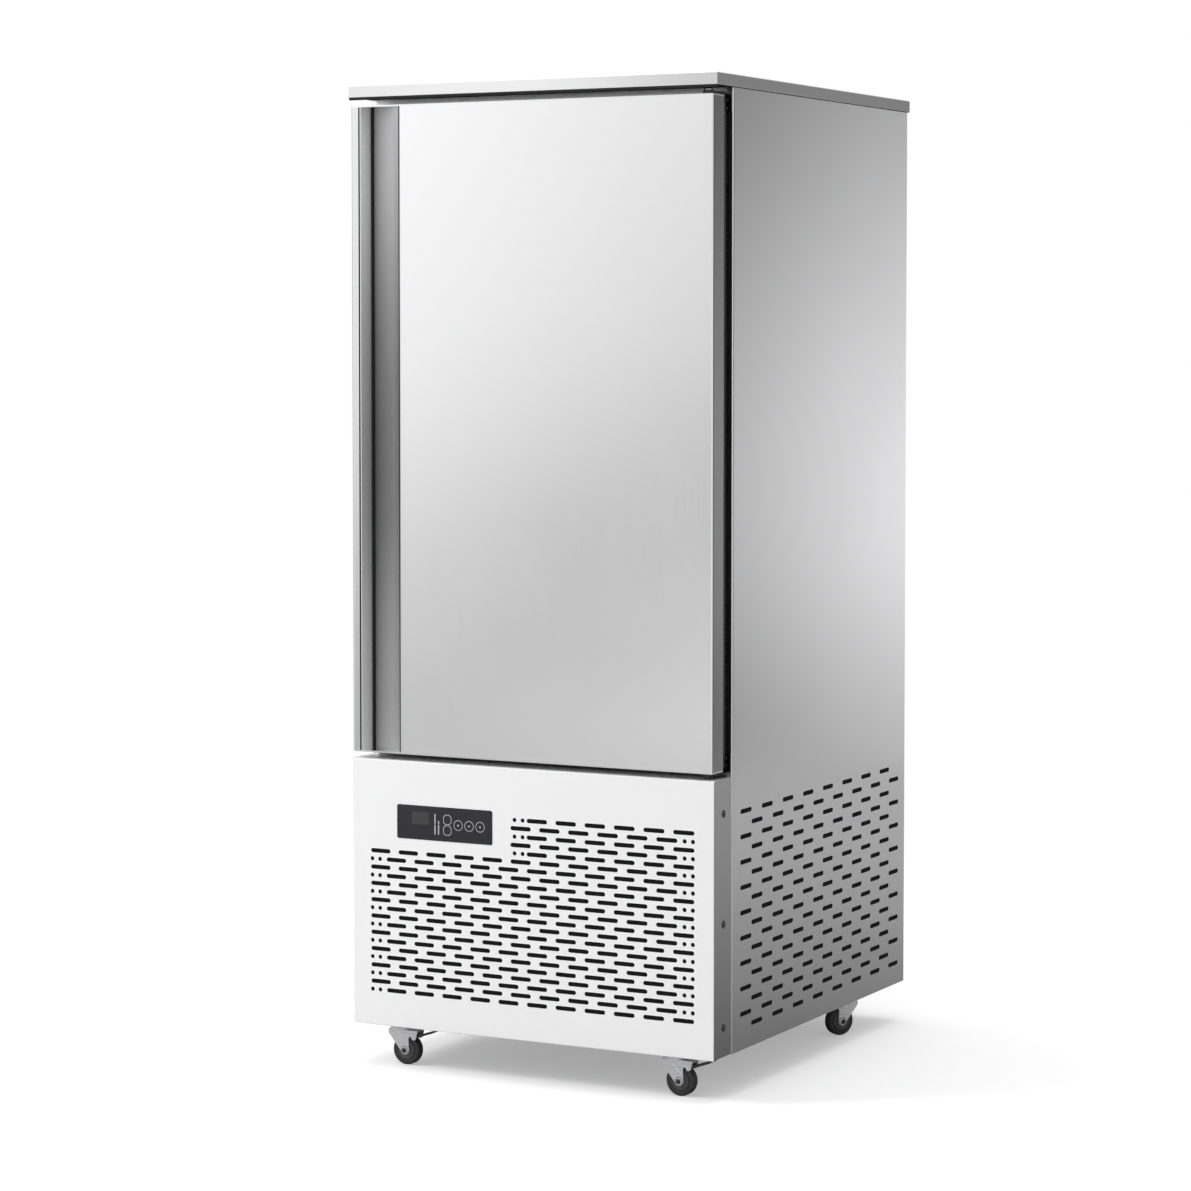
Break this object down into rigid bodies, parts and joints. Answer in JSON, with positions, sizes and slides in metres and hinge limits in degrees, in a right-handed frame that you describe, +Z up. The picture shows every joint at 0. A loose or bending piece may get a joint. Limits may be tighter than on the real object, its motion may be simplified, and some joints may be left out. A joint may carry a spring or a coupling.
{
  "type": "blast chiller",
  "caption": "Tall stainless blast chiller on swivel casters, with a hinged insulated door, a tray rack, a fan-cooled coil and a slotted machine bay below.",
  "frame": {"origin": "centre of the footprint on the floor", "axes": "+Z up, -Y out of the door, +X to the right as seen from the front"},
  "size_m": [0.808, 0.932, 1.95],
  "materials": {
    "stainless_outer": "satin",
    "stainless_bright": "gloss",
    "stainless_inner": "satin",
    "galvanised_steel": "satin",
    "panel_coat": "satin",
    "zinc_plate": "satin",
    "foam": "matte",
    "core_board": "matte",
    "display_black": "gloss",
    "grey_plastic": "matte",
    "white_plastic": "satin",
    "gasket_rubber": "matte",
    "wheel_rubber": "satin",
    "black_paint": "gloss",
    "fin_aluminium": "satin",
    "copper_pipe": "satin",
    "filter_mat": "matte"
  },
  "bodies": {
    "cabinet": {"base_frame": "galvanised_steel", "corner_posts": "galvanised_steel", "machine_deck": "galvanised_steel", "left_side_panel": "stainless_outer", "right_side_panel": "stainless_outer", "rear_panel": "stainless_outer", "rear_grille": "stainless_outer", "worktop": "stainless_outer", "worktop_core": "core_board", "cabinet_foam": "foam", "chamber_liner": "stainless_inner", "front_frame": "stainless_outer", "front_grille_panel": "panel_coat", "panel_screws": "stainless_bright", "controller_housing": "grey_plastic", "controller_face": "display_black", "hinge_brackets": "stainless_bright", "rack_uprights": "stainless_inner", "tray_runners": "stainless_inner", "evaporator_coil": "fin_aluminium", "fan_plate": "stainless_inner", "fan_guards": "stainless_bright", "fan_motors": "black_paint", "drip_tray": "stainless_inner", "drain_tube": "white_plastic", "compressor": "black_paint", "compressor_feet": "gasket_rubber", "condenser_coil": "fin_aluminium", "condenser_shroud": "galvanised_steel", "condenser_motor": "black_paint", "liquid_receiver": "black_paint", "filter_drier": "copper_pipe", "refrigerant_pipes": "copper_pipe", "electrical_box": "galvanised_steel", "melt_pan": "grey_plastic", "vent_filters": "filter_mat", "caster_plates": "zinc_plate"},
    "door": {"door_skin": "stainless_outer", "door_foam": "foam", "door_inner_panel": "stainless_inner", "door_gasket": "gasket_rubber", "door_end_caps": "stainless_bright", "hinge_bushes": "white_plastic"},
    "button_left": {"button_left": "grey_plastic"},
    "button_middle": {"button_middle": "grey_plastic"},
    "button_right": {"button_right": "grey_plastic"},
    "evaporator_fan_low": {"evaporator_fan_low": "grey_plastic"},
    "evaporator_fan_mid": {"evaporator_fan_mid": "grey_plastic"},
    "evaporator_fan_high": {"evaporator_fan_high": "grey_plastic"},
    "condenser_fan": {"condenser_fan": "grey_plastic"},
    "fork_fl": {"fork_fl": "zinc_plate"},
    "fork_fr": {"fork_fr": "zinc_plate"},
    "fork_rl": {"fork_rl": "zinc_plate"},
    "fork_rr": {"fork_rr": "zinc_plate"},
    "wheel_fl": {"wheel_fl": "wheel_rubber"},
    "wheel_fr": {"wheel_fr": "wheel_rubber"},
    "wheel_rl": {"wheel_rl": "wheel_rubber"},
    "wheel_rr": {"wheel_rr": "wheel_rubber"},
    "brake_fl": {"brake_fl": "grey_plastic"},
    "brake_fr": {"brake_fr": "grey_plastic"}
  },
  "joints": [
    {"name": "door_hinge", "type": "hinge", "parent": "cabinet", "child": "door", "pos_m": [0.372, -0.437, 1.2695], "axis": [0, 0, 1], "range_deg": [0, 105]},
    {"name": "button_left_press", "type": "slide", "parent": "cabinet", "child": "button_left", "axis": [0, 1, 0], "range_m": [0, 0.001], "stiffness_N_per_m": 800},
    {"name": "button_middle_press", "type": "slide", "parent": "cabinet", "child": "button_middle", "axis": [0, 1, 0], "range_m": [0, 0.001], "stiffness_N_per_m": 800},
    {"name": "button_right_press", "type": "slide", "parent": "cabinet", "child": "button_right", "axis": [0, 1, 0], "range_m": [0, 0.001], "stiffness_N_per_m": 800},
    {"name": "evaporator_fan_low_spin", "type": "hinge", "parent": "cabinet", "child": "evaporator_fan_low", "pos_m": [0, 0.1626, 0.9255], "axis": [0, 1, 0], "continuous": true},
    {"name": "evaporator_fan_mid_spin", "type": "hinge", "parent": "cabinet", "child": "evaporator_fan_mid", "pos_m": [0, 0.1626, 1.2755], "axis": [0, 1, 0], "continuous": true},
    {"name": "evaporator_fan_high_spin", "type": "hinge", "parent": "cabinet", "child": "evaporator_fan_high", "pos_m": [0, 0.1626, 1.6255], "axis": [0, 1, 0], "continuous": true},
    {"name": "condenser_fan_spin", "type": "hinge", "parent": "cabinet", "child": "condenser_fan", "pos_m": [0.13, -0.269, 0.303], "axis": [0, 1, 0], "continuous": true},
    {"name": "caster_fl_swivel", "type": "hinge", "parent": "cabinet", "child": "fork_fl", "pos_m": [-0.321, -0.411, 0.0771], "axis": [0, 0, 1], "continuous": true},
    {"name": "caster_fr_swivel", "type": "hinge", "parent": "cabinet", "child": "fork_fr", "pos_m": [0.29, -0.411, 0.0771], "axis": [0, 0, 1], "continuous": true},
    {"name": "caster_rl_swivel", "type": "hinge", "parent": "cabinet", "child": "fork_rl", "pos_m": [-0.35, 0.268, 0.0771], "axis": [0, 0, 1], "continuous": true},
    {"name": "caster_rr_swivel", "type": "hinge", "parent": "cabinet", "child": "fork_rr", "pos_m": [0.35, 0.268, 0.0771], "axis": [0, 0, 1], "continuous": true},
    {"name": "wheel_fl_roll", "type": "hinge", "parent": "fork_fl", "child": "wheel_fl", "pos_m": [-0.305, -0.411, 0.03], "axis": [0, 1, 0], "continuous": true},
    {"name": "wheel_fr_roll", "type": "hinge", "parent": "fork_fr", "child": "wheel_fr", "pos_m": [0.306, -0.411, 0.03], "axis": [0, 1, 0], "continuous": true},
    {"name": "wheel_rl_roll", "type": "hinge", "parent": "fork_rl", "child": "wheel_rl", "pos_m": [-0.35387, 0.25248, 0.03], "axis": [0.9703, -0.2419, 0], "continuous": true},
    {"name": "wheel_rr_roll", "type": "hinge", "parent": "fork_rr", "child": "wheel_rr", "pos_m": [0.34152, 0.25443, 0.03], "axis": [0.848, -0.5299, 0], "continuous": true},
    {"name": "brake_fl_press", "type": "hinge", "parent": "fork_fl", "child": "brake_fl", "pos_m": [-0.285, -0.411, 0.057], "axis": [0, 1, 0], "range_deg": [0, 18]},
    {"name": "brake_fr_press", "type": "hinge", "parent": "fork_fr", "child": "brake_fr", "pos_m": [0.326, -0.411, 0.057], "axis": [0, 1, 0], "range_deg": [0, 18]}
  ]
}
